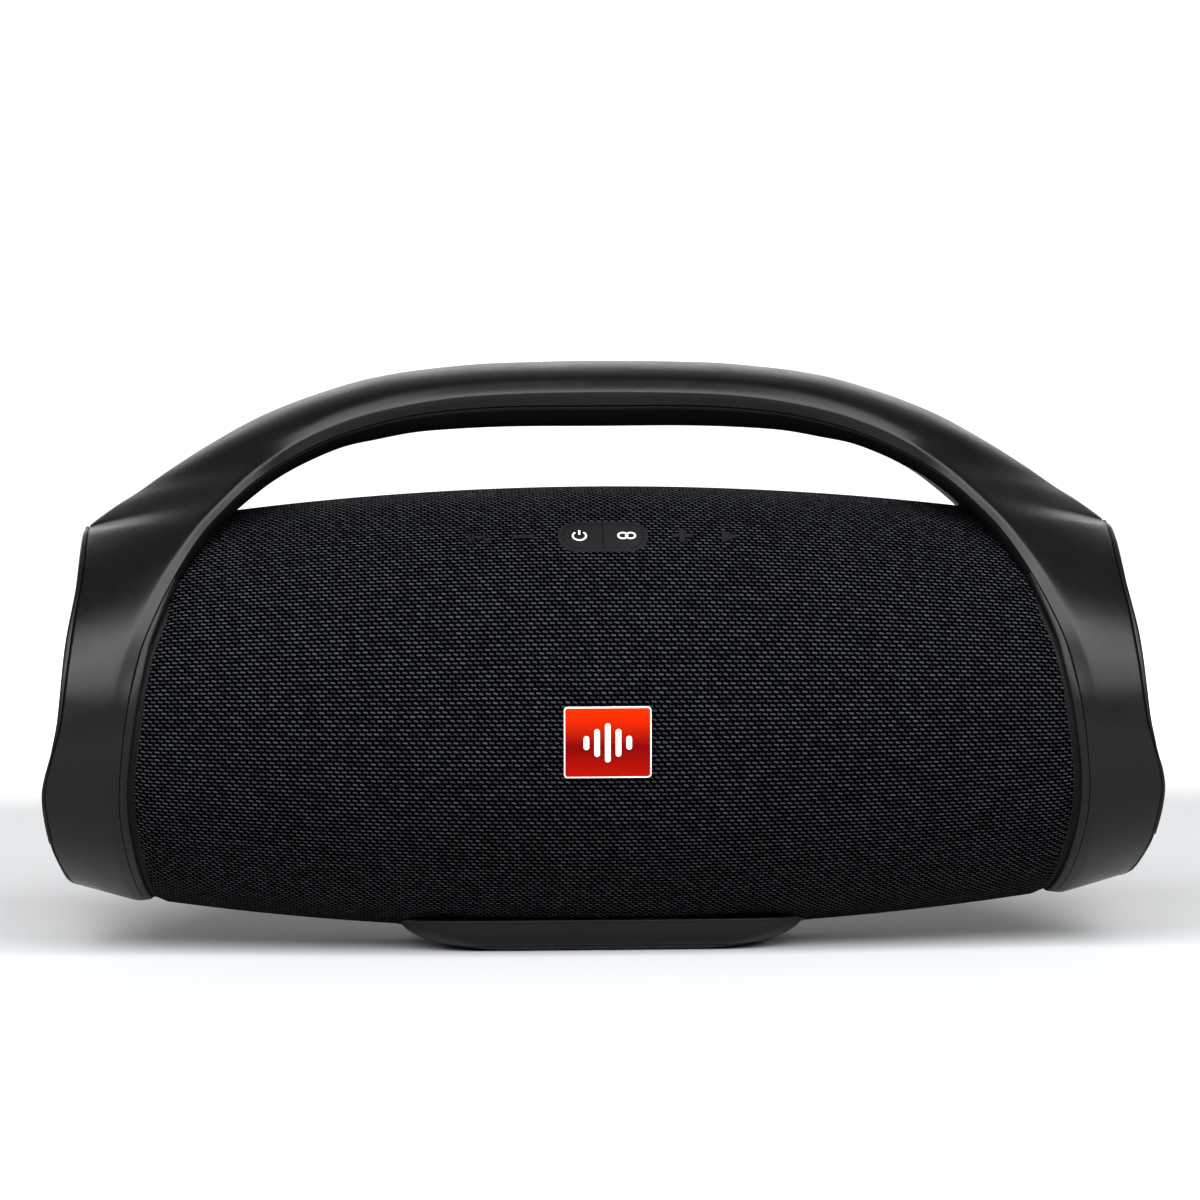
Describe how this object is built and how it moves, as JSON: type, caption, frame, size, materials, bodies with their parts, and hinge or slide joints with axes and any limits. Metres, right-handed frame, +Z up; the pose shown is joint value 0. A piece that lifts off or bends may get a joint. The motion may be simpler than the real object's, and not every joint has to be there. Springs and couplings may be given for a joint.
{
  "type": "portable bluetooth speaker",
  "caption": "Barrel-shaped portable speaker in woven cloth between two end rings joined by an arched carry handle, on an oval foot, with end radiators and a rear port flap.",
  "frame": {"origin": "middle of the foot's sole, on the surface that the speaker stands on", "axes": "+X along the barrel, to the right seen from the front; -Y is the front; +Z up"},
  "size_m": [0.4898, 0.1994, 0.2596],
  "materials": {
    "soft_touch": "soft-touch satin black moulding",
    "matte_black": "fine-grained matte black plastic",
    "woven_cloth": "coarse woven near-black synthetic cloth",
    "inner_plastic": "plain moulded black plastic",
    "black_rubber": "matte black rubber",
    "disc_metal": "dark satin disc",
    "cone": "pulp cone, dark",
    "magnet_steel": "blackened steel",
    "tweeter_plastic": "dark plastic with a silk dome",
    "screw_steel": "zinc-plated steel",
    "socket_black": "black socket shells",
    "circuit_board": "green circuit board",
    "battery_wrap": "heat-shrink wrapped cells",
    "lead_sleeve": "insulated leads",
    "badge_red": "satin red",
    "badge_pale": "pale satin"
  },
  "bodies": {
    "speaker": {"enclosure_front": "inner_plastic", "enclosure_rear": "inner_plastic", "enclosure_gasket": "black_rubber", "enclosure_screws": "screw_steel", "speaker_cloth": "woven_cloth", "handle_frame": "soft_touch", "handle_grip": "matte_black", "ring_lip_left": "matte_black", "ring_lip_right": "matte_black", "end_bezel_left": "matte_black", "end_bezel_right": "matte_black", "frame_screws": "screw_steel", "radiator_basket_left": "inner_plastic", "radiator_basket_right": "inner_plastic", "radiator_surround_left": "black_rubber", "radiator_surround_right": "black_rubber", "radiator_screws": "screw_steel", "woofer_basket_left": "inner_plastic", "woofer_basket_right": "inner_plastic", "woofer_magnet_left": "magnet_steel", "woofer_magnet_right": "magnet_steel", "woofer_surround_left": "black_rubber", "woofer_surround_right": "black_rubber", "tweeter_left": "tweeter_plastic", "tweeter_right": "tweeter_plastic", "driver_screws": "screw_steel", "control_pad": "black_rubber", "button_board": "circuit_board", "badge_plate": "badge_red", "badge_rim": "badge_pale", "badge_glyph": "badge_pale", "port_tray": "inner_plastic", "port_board": "circuit_board", "dc_socket": "socket_black", "aux_socket": "socket_black", "usb_sockets": "socket_black", "service_socket": "socket_black", "battery_pack": "battery_wrap", "battery_bracket": "inner_plastic", "main_board": "circuit_board", "speaker_leads": "lead_sleeve", "battery_lead": "lead_sleeve", "foot": "matte_black", "foot_pad": "black_rubber", "foot_screws": "screw_steel"},
    "radiator_disc_left": {"radiator_disc_left": "disc_metal"},
    "radiator_disc_right": {"radiator_disc_right": "disc_metal"},
    "woofer_cone_left": {"woofer_cone_left": "cone"},
    "woofer_cone_right": {"woofer_cone_right": "cone"},
    "button_power": {"button_power": "black_rubber"},
    "button_link": {"button_link": "black_rubber"},
    "button_wireless": {"button_wireless": "black_rubber"},
    "button_volume_down": {"button_volume_down": "black_rubber"},
    "button_volume_up": {"button_volume_up": "black_rubber"},
    "button_play": {"button_play": "black_rubber"},
    "tone_button": {"tone_button": "black_rubber"},
    "port_door": {"port_door": "black_rubber"}
  },
  "joints": [
    {"name": "radiator_left_travel", "type": "slide", "parent": "speaker", "child": "radiator_disc_left", "axis": [-1, 0, 0], "range_m": [-0.005, 0.005], "stiffness_N_per_m": 900, "deforming": ["radiator_surround_left"]},
    {"name": "radiator_right_travel", "type": "slide", "parent": "speaker", "child": "radiator_disc_right", "axis": [1, 0, 0], "range_m": [-0.005, 0.005], "stiffness_N_per_m": 900, "deforming": ["radiator_surround_right"]},
    {"name": "woofer_left_travel", "type": "slide", "parent": "speaker", "child": "woofer_cone_left", "axis": [0, -1, 0], "range_m": [-0.003, 0.003], "stiffness_N_per_m": 1200, "deforming": ["woofer_surround_left"]},
    {"name": "woofer_right_travel", "type": "slide", "parent": "speaker", "child": "woofer_cone_right", "axis": [0, -1, 0], "range_m": [-0.003, 0.003], "stiffness_N_per_m": 1200, "deforming": ["woofer_surround_right"]},
    {"name": "power_press", "type": "slide", "parent": "speaker", "child": "button_power", "axis": [0, 0.5878, -0.809], "range_m": [0, 0.0006], "stiffness_N_per_m": 700},
    {"name": "link_press", "type": "slide", "parent": "speaker", "child": "button_link", "axis": [0, 0.5878, -0.809], "range_m": [0, 0.0006], "stiffness_N_per_m": 700},
    {"name": "wireless_press", "type": "slide", "parent": "speaker", "child": "button_wireless", "axis": [0, 0.5878, -0.809], "range_m": [0, 0.0006], "stiffness_N_per_m": 700},
    {"name": "volume_down_press", "type": "slide", "parent": "speaker", "child": "button_volume_down", "axis": [0, 0.5878, -0.809], "range_m": [0, 0.0006], "stiffness_N_per_m": 700},
    {"name": "volume_up_press", "type": "slide", "parent": "speaker", "child": "button_volume_up", "axis": [0, 0.5878, -0.809], "range_m": [0, 0.0006], "stiffness_N_per_m": 700},
    {"name": "play_press", "type": "slide", "parent": "speaker", "child": "button_play", "axis": [0, 0.5878, -0.809], "range_m": [0, 0.0006], "stiffness_N_per_m": 700},
    {"name": "tone_press", "type": "slide", "parent": "speaker", "child": "tone_button", "axis": [0, -1, 0], "range_m": [0, 0.0006], "stiffness_N_per_m": 700},
    {"name": "port_door_hinge", "type": "hinge", "parent": "speaker", "child": "port_door", "pos_m": [0, 0.0952, 0.0791], "axis": [-1, 0, 0], "range_deg": [0, 110]}
  ]
}
